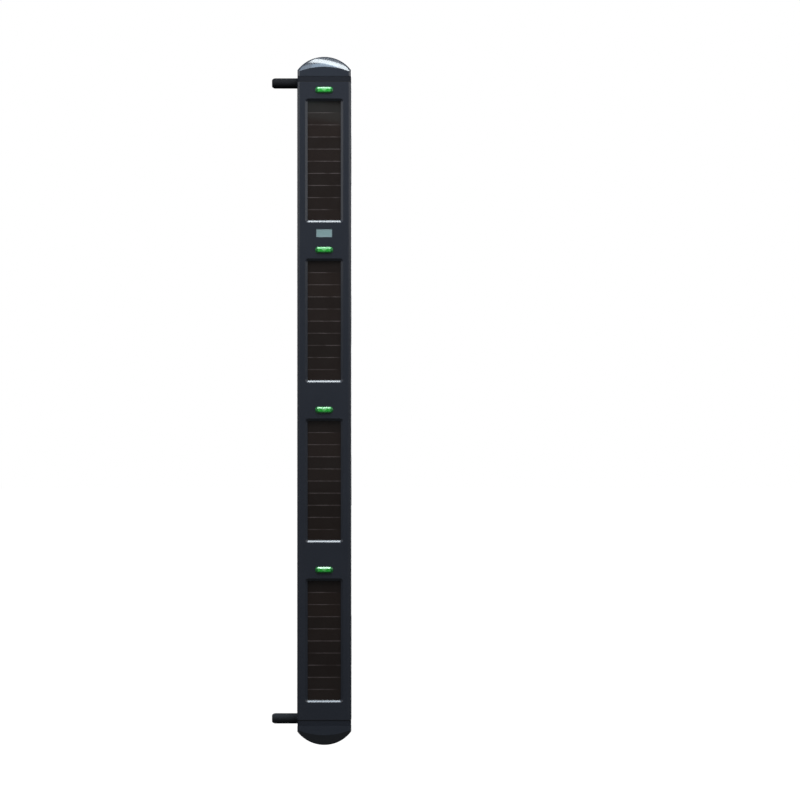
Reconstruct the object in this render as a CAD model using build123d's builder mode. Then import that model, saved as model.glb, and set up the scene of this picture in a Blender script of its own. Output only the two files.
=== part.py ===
from build123d import *
from math import cos, radians, sin
import os

# One bar of a solar powered wireless photo beam sensor. The bar stands upright and looks to -Y.
# The origin is midway between the ends of its two side arms, on the wall face that they bear on.
# All sizes are millimetres.

os.makedirs("parts", exist_ok=True)

# Bar
bar_width = 65.0
bar_depth = 46.0
bar_corner_radius = 4.0
housing_length = 766.0
side_wall = 2.4
back_wall = 2.4
arm_reach = 30.5

# Front cover
cover_depth = 10.0
cover_front_wall = 3.8
cover_seam_gap = 0.2
lip_thickness = 1.4
lip_reach = 1.2
lip_setback = 1.6

# Rails inside the rear housing
ledge_thickness = 1.6
ledge_reach = 3.0
tongue_thickness = 1.4
hook_thickness = 1.4
hook_reach = 1.2
hook_clearance = 0.3

# Circuit boards
board_thickness = 1.6
board_slot_clearance = 0.2
board_side_clearance = 0.4
board_end_setback = 4.0
board_split_z = 8.0
board_split_gap = 0.2

# Solar windows
window_count = 4
window_end_crop = 1.0
window_spacing = 43.0
window_margin = 9.7
window_lift = 0.5
window_bevel = 2.9
window_bevel_depth = 2.6
window_corner_radius = 0.8
panel_overlap = 2.0
panel_end_overlap = 3.0
panel_thickness = 3.2
panel_edge_bevel = 0.3
panel_clearance = 0.3
panel_rib_thickness = 1.5
panel_rib_height = 2.8
seal_thickness = 0.6
seal_setback = 0.6

# Indicator lenses, one above each solar window
indicator_rise = 10.1
indicator_width = 21.6
indicator_height = 8.0
indicator_corner_radius = 3.6
indicator_stand_out = 1.8
indicator_bevel = 1.9
indicator_clearance = 0.1
flange_margin = 1.5
flange_thickness = 1.0
pipe_diameter = 6.0
led_width = 3.5
led_height = 2.8
led_thickness = 1.2
led_gap = 0.4

# Display under the first solar window
display_drop = 12.5
display_width = 19.0
display_height = 10.0
display_recess = 0.5
display_clearance = 0.1
display_module_margin = 1.0
display_module_gap = 0.4

# End caps
cap_inset = 0.2
cap_edge_height = 7.0
cap_arc_rise = 16.5
cap_face_arc_rise = 6.4
cap_bevel_shoulder_width = 2.3
cap_bevel_lean = 34.0
cap_bevel_curve_radius = 70.0
cap_bevel_turn = 15.0
cap_bevel_run_out = 4.0
cap_wall = 2.6
cap_ridge_fillet = 4.0
cap_back_bevel = 1.2
cap_screw_floor = 4.0

# End brackets with their side arms
collar_height = 6.0
collar_inset = 0.4
gasket_thickness = 1.0
gasket_lap = 0.6
plug_length = 20.0
plug_side_clearance = 0.8
plug_rail_clearance = 0.4
plug_wall = 2.6
plug_root_block = 12.0
arm_diameter = 12.5
arm_drop = 1.0
arm_nose_length = 4.6
arm_face_margin = 0.3
arm_notch_clearance = 0.2

# Threaded inserts in the arm ends, for M5 bolts
insert_diameter = 6.4
insert_length = 10.0
insert_bore = 4.2
bolt_clearance_diameter = 5.3
bolt_hole_depth = 20.0

# Cap screws and the channels that they cut into
channel_diameter = 6.8
channel_bore = 3.4
channel_setback = 3.2
screw_diameter = 3.4
screw_hole_diameter = 3.9
screw_head_diameter = 7.4
screw_head_height = 2.6
screw_recess_diameter = 8.4
screw_grip = 14.0
screw_socket_diameter = 3.0
screw_socket_depth = 1.4

# Beam optics behind the +X side
beam_window_length = 60.0
beam_window_side_cover = 3.8
beam_window_corner_radius = 3.0
beam_window_stand_out = 0.3
beam_window_clearance = 0.1
beam_flange_margin = 1.8
beam_flange_thickness = 1.2
lens_rim = 1.6
lens_edge_thickness = 2.4
lens_height = 5.6
lens_lip = 0.8
lens_seat_clearance = 0.1
lens_dome_clearance = 0.2
holder_length = 26.0
holder_gap = 0.4
holder_channel_clearance = 0.2
holder_back_wall = 2.0
diode_diameter = 5.0
diode_length = 6.4
diode_dome_radius = 2.4
diode_clearance = 0.2
emitter_board_thickness = 1.6

# Battery pack behind the boards
cell_diameter = 18.4
cell_length = 65.2
cell_button_diameter = 6.0
cell_button_height = 1.4
cell_shoulder_radius = 1.0
cell_clearance = 0.3
battery_contact_thickness = 0.8
battery_wall = 1.6
battery_floor = 2.0

# Radio module and aerial
radio_width = 24.0
radio_length = 36.0
radio_height = 3.2
radio_edge_radius = 0.8
antenna_offset = 7.0
antenna_base_size = 7.0
antenna_base_length = 8.0
antenna_diameter = 4.4
antenna_length = 50.0
antenna_tip_radius = 1.5

# Small parts on the boards
chip_pitches = 1.25
chip_size = 12.0
chip_thickness = 1.4
capacitor_diameter = 8.0
capacitor_height = 11.0
capacitor_x_pitch = 36.0
capacitor_z_pitch = 24.0
battery_screw_spacing = 100.0
contact_pitch = 30.0
contact_diameter = 2.0
contact_base_size = 3.4
contact_base_height = 1.6
connector_width = 30.0
connector_height = 9.0
connector_depth = 3.4
connector_side_gap = 1.6
holder_screw_diameter = 2.2
holder_screw_head_diameter = 4.4
holder_screw_head_height = 1.4
holder_screw_length = 6.0
holder_screw_inset = 2.6

# Places worked out from the sizes above
axis_x = arm_reach + bar_width / 2
front_y = -bar_depth / 2
back_y = bar_depth / 2
housing_top = housing_length / 2
seam_y = front_y + cover_depth
rear_front_y = seam_y + cover_seam_gap
cover_inner_y = front_y + cover_front_wall
inner_half_width = bar_width / 2 - side_wall
slot_front_y = rear_front_y + ledge_thickness
slot_back_y = slot_front_y + board_thickness + 2 * board_slot_clearance
board_front_y = slot_front_y + board_slot_clearance
board_back_y = board_front_y + board_thickness
rail_back_y = slot_back_y + ledge_thickness
ledge_inner_x = inner_half_width - ledge_reach
window_pitch = (housing_length + 2 * window_end_crop) / window_count
window_width = bar_width - 2 * window_margin
window_height = window_pitch - window_spacing
opening_width = window_width - 2 * window_bevel
opening_height = window_height - 2 * window_bevel
panel_width = opening_width + 2 * panel_overlap
panel_height = opening_height + 2 * panel_end_overlap
panel_front_y = cover_inner_y + seal_thickness
panel_back_y = panel_front_y + panel_thickness
flange_back_y = cover_inner_y + flange_thickness
window_levels = [window_lift + window_pitch * ((window_count - 1) / 2 - n) for n in range(window_count)]
indicator_offset = window_height / 2 + indicator_rise
indicator_levels = [z + indicator_offset for z in window_levels]
display_z = window_levels[0] - window_height / 2 - display_drop
gasket_top = housing_top + gasket_thickness
collar_top = gasket_top + collar_height
arm_z = housing_top - arm_drop
cap_half_width = bar_width / 2 - cap_inset
cap_arc_radius = (cap_half_width**2 + cap_arc_rise**2) / (2 * cap_arc_rise)
cap_face_arc_radius = (cap_half_width**2 + cap_face_arc_rise**2) / (2 * cap_face_arc_rise)
cap_top = collar_top + cap_edge_height + cap_arc_rise
cap_face_arc_drop = cap_arc_rise + cap_bevel_shoulder_width - cap_face_arc_rise
plug_front_y = rail_back_y + plug_rail_clearance
channel_x = inner_half_width - channel_setback
channel_y = back_y - back_wall - channel_setback
channel_spots = [(-channel_x, channel_y), (channel_x, channel_y)]
plug_back_y = channel_y - channel_diameter / 2 - plug_rail_clearance
screw_seat_z = collar_top + cap_screw_floor
inner_side_x = axis_x + inner_half_width
beam_flange_x = inner_side_x - beam_flange_thickness
holder_front_x = axis_x + ledge_inner_x - holder_gap
holder_back_x = holder_front_x - holder_length
holder_size = channel_y - channel_diameter / 2 - holder_channel_clearance - board_back_y
beam_y = board_back_y + holder_size / 2
beam_window_width = holder_size - 2 * beam_window_side_cover
lens_diameter = holder_size - 2 * lens_rim
holder_bore = lens_diameter - 2 * lens_lip
holder_screw_spacing = holder_size - 2 * holder_screw_inset
holder_mid_x = (holder_front_x + holder_back_x) / 2
holder_screw_spots = [(0, -holder_screw_spacing / 2), (0, holder_screw_spacing / 2)]
radio_z = (window_levels[0] + window_levels[1]) / 2
battery_y = board_back_y + battery_floor + cell_clearance + cell_diameter / 2
battery_half_length = 1.5 * battery_contact_thickness + cell_length
battery_screw_spots = [(0, -battery_screw_spacing / 2), (0, battery_screw_spacing / 2)]


def level(z):
    """A level plane on the bar's axis."""
    return Plane(origin=(axis_x, 0, z))


def facing(y, z=0.0, x=axis_x):
    """An upright plane that looks to the front: its own x is +X and its own y is +Z."""
    return Plane(origin=(x, y, z), x_dir=(1, 0, 0), z_dir=(0, -1, 0))


def sideways(x, y=0.0, z=0.0):
    """An upright plane that looks to +X: its own x is +Y and its own y is +Z."""
    return Plane(origin=(x, y, z), x_dir=(0, 1, 0), z_dir=(1, 0, 0))


def keep(part, name):
    """Label a finished piece and write its file."""
    part.label = name
    export_step(part, f"parts/{name}.step")


# Rear housing: an extruded channel with board slots, hooked tongues for the cover and screw channels
with BuildPart() as rear_housing:
    with BuildSketch(level(-housing_top)):
        RectangleRounded(bar_width, bar_depth, bar_corner_radius)
        with Locations((0, side_wall / 2 - back_wall / 2)):
            RectangleRounded(
                2 * inner_half_width,
                bar_depth - side_wall - back_wall,
                bar_corner_radius - side_wall,
                mode=Mode.SUBTRACT,
            )
        with Locations((0, front_y)):
            Rectangle(bar_width, 2 * (rear_front_y - front_y), mode=Mode.SUBTRACT)
        for hand in (-1, 1):
            ledge_x = hand * (inner_half_width - ledge_reach / 2)
            with Locations((ledge_x, rear_front_y + ledge_thickness / 2)):
                Rectangle(ledge_reach, ledge_thickness)
            with Locations((ledge_x, slot_back_y + ledge_thickness / 2)):
                Rectangle(ledge_reach, ledge_thickness)
            lip_front_y = seam_y - lip_setback - lip_thickness
            hook_back_y = lip_front_y - hook_clearance
            hook_front_y = hook_back_y - hook_thickness
            tongue_x = ledge_inner_x + tongue_thickness / 2
            with Locations((hand * tongue_x, (hook_front_y + rear_front_y) / 2)):
                Rectangle(tongue_thickness, rear_front_y - hook_front_y)
            hook_x = ledge_inner_x + tongue_thickness + hook_reach / 2
            with Locations((hand * hook_x, (hook_front_y + hook_back_y) / 2)):
                Rectangle(hook_reach, hook_thickness)
        with Locations(*channel_spots):
            Circle(channel_diameter / 2)
            Circle(channel_bore / 2, mode=Mode.SUBTRACT)
    extrude(amount=housing_length)
    with BuildSketch(sideways(inner_side_x, beam_y)):
        with Locations(*[(0, z) for z in window_levels]):
            RectangleRounded(beam_window_width, beam_window_length, beam_window_corner_radius)
    extrude(amount=side_wall, mode=Mode.SUBTRACT)
    with BuildSketch(sideways(arm_reach)):
        notch_radius = arm_diameter / 2 + arm_notch_clearance
        for end in (-1, 1):
            with Locations((0, end * arm_z)):
                Circle(notch_radius)
            with Locations((0, end * (arm_z + arm_drop / 2))):
                Rectangle(2 * notch_radius, arm_drop)
    extrude(amount=side_wall + ledge_reach, mode=Mode.SUBTRACT)
keep(rear_housing.part, "rear_housing")

# Front cover: a moulded tray with four bevelled solar windows, lens and display openings
with BuildPart() as front_cover:
    with BuildSketch(level(-housing_top)):
        RectangleRounded(bar_width, bar_depth, bar_corner_radius)
        with Locations((0, (seam_y + back_y) / 2)):
            Rectangle(bar_width, back_y - seam_y, mode=Mode.SUBTRACT)
        with Locations((0, (cover_inner_y + seam_y) / 2)):
            Rectangle(2 * inner_half_width, seam_y - cover_inner_y, mode=Mode.SUBTRACT)
        for hand in (-1, 1):
            with Locations((hand * (inner_half_width - lip_reach / 2), lip_front_y + lip_thickness / 2)):
                Rectangle(lip_reach, lip_thickness)
    extrude(amount=housing_length)
    with BuildSketch(facing(cover_inner_y)):
        with Locations(*[(0, z) for z in window_levels]):
            RectangleRounded(opening_width, opening_height, window_corner_radius)
    extrude(amount=cover_front_wall, mode=Mode.SUBTRACT)
    front_face = front_cover.faces().sort_by(Axis.Y)[0]
    window_edges = [edge for wire in front_face.inner_wires() for edge in wire.edges()]
    chamfer(window_edges, window_bevel, window_bevel_depth, reference=front_face)
    with BuildSketch(facing(cover_inner_y)):
        rib_gap = 2 * panel_clearance
        rib_growth = rib_gap + 2 * panel_rib_thickness
        with Locations(*[(0, z) for z in window_levels]):
            Rectangle(panel_width + rib_growth, panel_height + rib_growth)
            Rectangle(panel_width + rib_gap, panel_height + rib_gap, mode=Mode.SUBTRACT)
    extrude(amount=-panel_rib_height)
    with BuildSketch(facing(cover_inner_y)):
        with Locations(*[(0, z) for z in indicator_levels]):
            RectangleRounded(indicator_width, indicator_height, indicator_corner_radius)
        with Locations((0, display_z)):
            Rectangle(display_width, display_height)
    extrude(amount=cover_front_wall, mode=Mode.SUBTRACT)
keep(front_cover.part, "front_cover")


def cap_body(inset):
    """The cap's form, from the collar up, drawn in by an inset on every face but the lower one."""
    arc_centre_z = cap_top - cap_arc_radius
    face_arc_centre_z = cap_top - cap_face_arc_drop - cap_face_arc_radius
    half_width = cap_half_width - inset
    outer_radius = cap_arc_radius - inset
    face_radius = cap_face_arc_radius - inset
    cap_depth = bar_depth - 2 * cap_inset - 2 * inset
    shoulder_z = arc_centre_z + (outer_radius**2 - half_width**2) ** 0.5
    with BuildPart() as body:
        with BuildSketch(level(collar_top)):
            RectangleRounded(2 * half_width, cap_depth, bar_corner_radius - cap_inset - min(inset, 2))
        extrude(amount=cap_top - collar_top)
        with BuildSketch(facing(cap_depth / 2)):
            with BuildLine():
                top_arc = ThreePointArc(
                    (-half_width, shoulder_z),
                    (0, arc_centre_z + outer_radius),
                    (half_width, shoulder_z),
                )
                Polyline(
                    top_arc @ 1,
                    (half_width, collar_top),
                    (-half_width, collar_top),
                    top_arc @ 0,
                )
            make_face()
        extrude(amount=cap_depth, mode=Mode.INTERSECT)
        with BuildSketch(sideways(axis_x, -cap_depth / 2, face_arc_centre_z)):
            with BuildLine():
                bevel_curve = JernArc(
                    start=(0, face_radius),
                    tangent=(sin(radians(cap_bevel_lean)), cos(radians(cap_bevel_lean))),
                    radius=cap_bevel_curve_radius,
                    arc_size=-cap_bevel_turn,
                )
                Polyline(
                    bevel_curve @ 1,
                    (-cap_bevel_run_out, (bevel_curve @ 1).Y),
                    (-cap_bevel_run_out, face_radius),
                    bevel_curve @ 0,
                )
            make_face()
        revolve(axis=Axis((axis_x, 0, face_arc_centre_z), (0, 1, 0)), mode=Mode.SUBTRACT)
    return body.part


# Upper cap: a hollow moulding with an arched top, a bevelled front and two screw bosses
cap_outside = cap_body(0)
cap_inside = cap_body(cap_wall)
with BuildPart() as cap_bosses:
    with BuildSketch(level(collar_top)):
        with Locations(*channel_spots):
            Circle(screw_recess_diameter / 2 + cap_wall / 2)
    extrude(amount=cap_top - collar_top)
with BuildPart() as top_cap:
    add(cap_outside)
    fillet(top_cap.edges().filter_by(GeomType.BSPLINE).sort_by(SortBy.LENGTH)[-1], cap_ridge_fillet)
    cap_back_y = back_y - cap_inset
    with BuildSketch(sideways(axis_x, cap_back_y, cap_top - cap_arc_radius)):
        with BuildLine():
            Polyline(
                (0, cap_arc_radius - cap_back_bevel),
                (-cap_back_bevel, cap_arc_radius),
                (-cap_back_bevel, cap_arc_radius + cap_back_bevel),
                (cap_back_bevel, cap_arc_radius + cap_back_bevel),
                (cap_back_bevel, cap_arc_radius - cap_back_bevel),
                close=True,
            )
        make_face()
    revolve(axis=Axis((axis_x, 0, cap_top - cap_arc_radius), (0, 1, 0)), mode=Mode.SUBTRACT)
    add(cap_inside - cap_bosses.part, mode=Mode.SUBTRACT)
    with BuildSketch(level(collar_top)):
        with Locations(*channel_spots):
            Circle(screw_hole_diameter / 2)
    extrude(amount=cap_screw_floor, mode=Mode.SUBTRACT)
    with BuildSketch(level(screw_seat_z)):
        with Locations(*channel_spots):
            Circle(screw_recess_diameter / 2)
    extrude(amount=cap_top - screw_seat_z, mode=Mode.SUBTRACT)
keep(top_cap.part, "top_cap")

# Lower cap: the same moulding at the other end
with BuildPart() as bottom_cap:
    add(mirror(top_cap.part, about=Plane.XY, mode=Mode.PRIVATE))
keep(bottom_cap.part, "bottom_cap")

# Upper bracket: a collar between cap and housing, a plug inside the housing and the side arm
with BuildPart() as top_bracket:
    with BuildSketch(level(gasket_top)):
        RectangleRounded(
            bar_width - 2 * collar_inset,
            bar_depth - 2 * collar_inset,
            bar_corner_radius - collar_inset,
        )
    extrude(amount=collar_height)
    plug_half_width = inner_half_width - plug_side_clearance
    plug_mid_y = (plug_front_y + plug_back_y) / 2
    plug_depth_y = plug_back_y - plug_front_y
    with BuildSketch(level(gasket_top)):
        with Locations((0, plug_mid_y)):
            RectangleRounded(2 * plug_half_width, plug_depth_y, plug_wall)
    extrude(amount=-plug_length)
    with BuildSketch(level(gasket_top - plug_length)):
        pocket_left = plug_root_block - plug_half_width
        pocket_right = plug_half_width - plug_wall
        with Locations(((pocket_left + pocket_right) / 2, plug_mid_y)):
            Rectangle(pocket_right - pocket_left, plug_depth_y - 2 * plug_wall)
    extrude(amount=plug_length, mode=Mode.SUBTRACT)
    arm_root_x = axis_x - plug_half_width + plug_wall
    arm_radius = arm_diameter / 2
    face_radius = insert_diameter / 2 + arm_face_margin
    with BuildSketch(Plane.XZ):
        with BuildLine():
            nose_middle = (arm_nose_length, arm_z + face_radius)
            EllipticalCenterArc(nose_middle, arm_nose_length, arm_radius - face_radius, 90, arc_size=90)
            Polyline((0, arm_z + face_radius), (0, arm_z), (arm_root_x, arm_z),
                     (arm_root_x, arm_z + arm_radius), (arm_nose_length, arm_z + arm_radius))
        make_face()
    revolve(axis=Axis((0, 0, arm_z), (1, 0, 0)))
    with BuildSketch(sideways(0, 0, arm_z)):
        Circle(insert_diameter / 2)
    extrude(amount=insert_length, mode=Mode.SUBTRACT)
    with BuildSketch(sideways(insert_length, 0, arm_z)):
        Circle(bolt_clearance_diameter / 2)
    extrude(amount=bolt_hole_depth - insert_length, mode=Mode.SUBTRACT)
    with BuildSketch(level(gasket_top)):
        with Locations(*channel_spots):
            Circle(screw_hole_diameter / 2)
    extrude(amount=collar_height, mode=Mode.SUBTRACT)
keep(top_bracket.part, "top_bracket")

# Lower bracket: the same casting at the other end
with BuildPart() as bottom_bracket:
    add(mirror(top_bracket.part, about=Plane.XY, mode=Mode.PRIVATE))
keep(bottom_bracket.part, "bottom_bracket")

# Gaskets: a flat rubber ring on each end of the housing, open where the arm passes
with BuildPart() as top_gasket:
    with BuildSketch(level(housing_top)):
        RectangleRounded(
            bar_width - 2 * collar_inset,
            bar_depth - 2 * collar_inset,
            bar_corner_radius - collar_inset,
        )
        gasket_rim = side_wall + gasket_lap
        RectangleRounded(
            bar_width - 2 * gasket_rim,
            bar_depth - 2 * gasket_rim,
            bar_corner_radius - side_wall,
            mode=Mode.SUBTRACT,
        )
        with Locations((-bar_width / 2, 0)):
            Rectangle(4 * gasket_rim, 2 * notch_radius, mode=Mode.SUBTRACT)
    extrude(amount=gasket_thickness)
keep(top_gasket.part, "top_gasket")

with BuildPart() as bottom_gasket:
    add(mirror(top_gasket.part, about=Plane.XY, mode=Mode.PRIVATE))
keep(bottom_gasket.part, "bottom_gasket")

# Threaded inserts: brass bushes pressed into the arm ends
with BuildPart() as threaded_inserts:
    with BuildSketch(sideways(0)):
        with Locations((0, arm_z), (0, -arm_z)):
            Circle(insert_diameter / 2)
            Circle(insert_bore / 2, mode=Mode.SUBTRACT)
    extrude(amount=insert_length)
keep(threaded_inserts.part, "threaded_inserts")

# Cap screws: two at each end, through cap and collar into the housing's channels
with BuildPart() as upper_cap_screws:
    with BuildSketch(level(screw_seat_z)):
        with Locations(*channel_spots):
            Circle(screw_head_diameter / 2)
    extrude(amount=screw_head_height)
    with BuildSketch(level(screw_seat_z)):
        with Locations(*channel_spots):
            Circle(screw_diameter / 2)
    extrude(amount=-(screw_seat_z - housing_top + screw_grip))
    with BuildSketch(level(screw_seat_z + screw_head_height)):
        with Locations(*channel_spots):
            RegularPolygon(screw_socket_diameter / 2, 6)
    extrude(amount=-screw_socket_depth, mode=Mode.SUBTRACT)
with BuildPart() as cap_screws:
    add(upper_cap_screws.part)
    add(mirror(upper_cap_screws.part, about=Plane.XY, mode=Mode.PRIVATE))
keep(cap_screws.part, "cap_screws")

for number, z in enumerate(window_levels, start=1):
    # Solar panel: a glass plate with a thin film of cells on its back
    with BuildPart() as solar_panel:
        with BuildSketch(facing(panel_back_y, z)):
            Rectangle(panel_width, panel_height)
        extrude(amount=panel_thickness)
        chamfer(solar_panel.faces().sort_by(Axis.Y)[0].edges(), panel_edge_bevel)
    keep(solar_panel.part, f"solar_panel_{number}")

    # Panel seal: a foam ring between the panel and the cover
    with BuildPart() as panel_seal:
        with BuildSketch(facing(panel_front_y, z)):
            Rectangle(panel_width - 2 * panel_edge_bevel, panel_height - 2 * panel_edge_bevel)
            Rectangle(
                opening_width + 2 * seal_setback,
                opening_height + 2 * seal_setback,
                mode=Mode.SUBTRACT,
            )
        extrude(amount=seal_thickness)
    keep(panel_seal.part, f"panel_seal_{number}")

    # Indicator lens: a bevelled green lens with a flange behind the cover and a light pipe to its diode
    with BuildPart() as indicator_lens:
        with BuildSketch(facing(cover_inner_y, z + indicator_offset)):
            RectangleRounded(
                indicator_width - 2 * indicator_clearance,
                indicator_height - 2 * indicator_clearance,
                indicator_corner_radius - indicator_clearance,
            )
        extrude(amount=cover_front_wall + indicator_stand_out)
        chamfer(indicator_lens.faces().sort_by(Axis.Y)[0].edges(), indicator_bevel)
        with BuildSketch(facing(flange_back_y, z + indicator_offset)):
            RectangleRounded(
                indicator_width + 2 * flange_margin,
                indicator_height + 2 * flange_margin,
                indicator_corner_radius,
            )
        extrude(amount=flange_thickness)
        with BuildSketch(facing(flange_back_y, z + indicator_offset)):
            Circle(pipe_diameter / 2)
        extrude(amount=-(board_front_y - led_thickness - led_gap - flange_back_y))
    keep(indicator_lens.part, f"indicator_lens_{number}")

    # Beam window: a dark infrared filter, glued behind its opening in the housing's side
    with BuildPart() as beam_window:
        with BuildSketch(sideways(inner_side_x, beam_y, z)):
            RectangleRounded(
                beam_window_width - 2 * beam_window_clearance,
                beam_window_length - 2 * beam_window_clearance,
                beam_window_corner_radius - beam_window_clearance,
            )
        extrude(amount=side_wall + beam_window_stand_out)
        with BuildSketch(sideways(beam_flange_x, beam_y, z)):
            RectangleRounded(
                beam_window_width + 2 * beam_flange_margin,
                beam_window_length + 2 * beam_flange_margin,
                beam_window_corner_radius,
            )
        extrude(amount=beam_flange_thickness)
    keep(beam_window.part, f"beam_window_{number}")

    # Beam lens: flat towards the window and domed towards the diode
    lens_front_x = holder_front_x
    dome_radius = holder_bore / 2 - lens_dome_clearance
    with BuildPart() as beam_lens:
        with BuildSketch(facing(beam_y, z, lens_front_x)):
            with BuildLine():
                dome = TangentArc((-lens_height, 0), (-lens_edge_thickness, dome_radius), tangent=(0, 1))
                Polyline(
                    dome @ 1,
                    (-lens_edge_thickness, lens_diameter / 2),
                    (0, lens_diameter / 2),
                    (0, 0),
                    dome @ 0,
                )
            make_face()
        revolve(axis=Axis((lens_front_x, beam_y, z), (1, 0, 0)))
    keep(beam_lens.part, f"beam_lens_{number}")

    # Lens holder: a square tube that sits on the board's back and holds lens and diode in line
    with BuildPart() as lens_holder:
        with BuildSketch(sideways(holder_back_x, beam_y, z)):
            Rectangle(holder_size, holder_size)
        extrude(amount=holder_length)
        with BuildSketch(sideways(holder_back_x, beam_y, z)):
            Circle(diode_diameter / 2 + diode_clearance)
        extrude(amount=holder_back_wall, mode=Mode.SUBTRACT)
        with BuildSketch(sideways(holder_back_x + holder_back_wall, beam_y, z)):
            Circle(holder_bore / 2)
        extrude(amount=holder_length - holder_back_wall, mode=Mode.SUBTRACT)
        with BuildSketch(sideways(holder_front_x - lens_edge_thickness, beam_y, z)):
            Circle(lens_diameter / 2 + lens_seat_clearance)
        extrude(amount=lens_edge_thickness, mode=Mode.SUBTRACT)
        with BuildSketch(facing(board_back_y, z, holder_mid_x)):
            with Locations(*holder_screw_spots):
                Circle(holder_screw_diameter / 2)
        extrude(amount=-holder_screw_length, mode=Mode.SUBTRACT)
    keep(lens_holder.part, f"lens_holder_{number}")

    # Emitter board: a small board on the holder's back that stands on the main board
    with BuildPart() as emitter_board:
        with BuildSketch(sideways(holder_back_x - emitter_board_thickness, beam_y, z)):
            Rectangle(holder_size, holder_size)
        extrude(amount=emitter_board_thickness)
    keep(emitter_board.part, f"emitter_board_{number}")

# Infrared diodes: one on each emitter board, with a domed end that looks at the lens
with BuildPart() as infrared_diodes:
    for z in window_levels:
        with BuildSketch(sideways(holder_back_x, beam_y, z)):
            Circle(diode_diameter / 2)
        extrude(amount=diode_length)
    fillet(infrared_diodes.faces().group_by(Axis.X)[-1].edges(), diode_dome_radius)
keep(infrared_diodes.part, "infrared_diodes")

# Indicator diodes: one on the main boards' front behind each light pipe
with BuildPart() as indicator_leds:
    with BuildSketch(facing(board_front_y)):
        with Locations(*[(0, z) for z in indicator_levels]):
            Rectangle(led_width, led_height)
    extrude(amount=led_thickness)
keep(indicator_leds.part, "indicator_leds")

# Panel contacts: sprung pins on small bases, two behind each solar panel
with BuildPart() as panel_contacts:
    contact_spots = [(side * contact_pitch / 2, z) for z in window_levels for side in (-1, 1)]
    with BuildSketch(facing(board_front_y)):
        with Locations(*contact_spots):
            Rectangle(contact_base_size, contact_base_size)
    extrude(amount=contact_base_height)
    with BuildSketch(facing(board_front_y)):
        with Locations(*contact_spots):
            Circle(contact_diameter / 2)
    extrude(amount=board_front_y - panel_back_y)
keep(panel_contacts.part, "panel_contacts")

# Display window: a clear pane with a flange behind the cover
with BuildPart() as display_window:
    with BuildSketch(facing(cover_inner_y, display_z)):
        Rectangle(display_width - 2 * display_clearance, display_height - 2 * display_clearance)
    extrude(amount=cover_front_wall - display_recess)
    with BuildSketch(facing(flange_back_y, display_z)):
        Rectangle(display_width + 2 * flange_margin, display_height + 2 * flange_margin)
    extrude(amount=flange_thickness)
keep(display_window.part, "display_window")

# Display module: a small flat display on the upper board, close behind its window
with BuildPart() as display_module:
    with BuildSketch(facing(board_front_y, display_z)):
        Rectangle(display_width + 2 * display_module_margin, display_height + 2 * display_module_margin)
    extrude(amount=board_front_y - flange_back_y - display_module_gap)
keep(display_module.part, "display_module")

# Main boards: two long circuit boards, end to end in the housing's slots, with parts on their backs
board_half_width = inner_half_width - board_side_clearance
board_end_z = housing_top - board_end_setback
board_spans = {
    "main_board_upper": (board_split_z + board_split_gap / 2, board_end_z, chip_pitches * window_pitch),
    "main_board_lower": (-board_end_z, board_split_z - board_split_gap / 2, -chip_pitches * window_pitch),
}
for name, (low_z, high_z, chip_z) in board_spans.items():
    with BuildPart() as main_board:
        with BuildSketch(facing(board_back_y, (low_z + high_z) / 2)):
            Rectangle(2 * board_half_width, high_z - low_z)
        extrude(amount=board_thickness)
        with BuildSketch(facing(board_back_y, chip_z)):
            Rectangle(chip_size, chip_size)
        extrude(amount=-chip_thickness)
        with BuildSketch(facing(board_back_y, chip_z)):
            with GridLocations(capacitor_x_pitch, capacitor_z_pitch, 2, 2):
                Circle(capacitor_diameter / 2)
        extrude(amount=-capacitor_height)
        with BuildSketch(facing(board_back_y)):
            for z in window_levels:
                for spot_x, spot_z in holder_screw_spots:
                    with Locations((holder_mid_x - axis_x + spot_x, z + spot_z)):
                        Circle(holder_screw_diameter / 2)
            with Locations(*battery_screw_spots):
                Circle(holder_screw_diameter / 2)
        extrude(amount=board_thickness, mode=Mode.SUBTRACT)
    keep(main_board.part, name)

# Board connector: a plug and socket pair that joins the two boards
with BuildPart() as board_connector:
    connector_x = axis_x + ledge_inner_x - connector_side_gap - connector_width / 2
    with BuildSketch(facing(board_front_y, board_split_z, connector_x)):
        Rectangle(connector_width, connector_height)
    extrude(amount=connector_depth)
keep(board_connector.part, "board_connector")

# Battery holder: a moulded tray for two cells in line
with BuildPart() as battery_holder:
    tray_width = cell_diameter + 2 * cell_clearance + 2 * battery_wall
    tray_length = 2 * (battery_half_length + battery_wall)
    tray_depth = battery_floor + cell_clearance + cell_diameter / 2
    with BuildSketch(facing(board_back_y)):
        Rectangle(tray_width, tray_length)
    extrude(amount=-tray_depth)
    with BuildSketch(facing(board_back_y + battery_floor)):
        Rectangle(tray_width - 2 * battery_wall, 2 * battery_half_length)
    extrude(amount=battery_floor - tray_depth, mode=Mode.SUBTRACT)
    with BuildSketch(facing(board_back_y)):
        with Locations(*battery_screw_spots):
            Circle(holder_screw_diameter / 2)
    extrude(amount=-battery_floor, mode=Mode.SUBTRACT)
keep(battery_holder.part, "battery_holder")

# Battery contacts: plated strips at both ends and between the cells
with BuildPart() as battery_contacts:
    contact_reach = battery_half_length - battery_contact_thickness / 2
    for z in (-contact_reach, 0, contact_reach):
        with BuildSketch(level(z - battery_contact_thickness / 2)):
            with Locations((0, (board_back_y + battery_floor + battery_y) / 2)):
                Rectangle(tray_width - 2 * battery_wall, battery_y - board_back_y - battery_floor)
        extrude(amount=battery_contact_thickness)
keep(battery_contacts.part, "battery_contacts")

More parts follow.
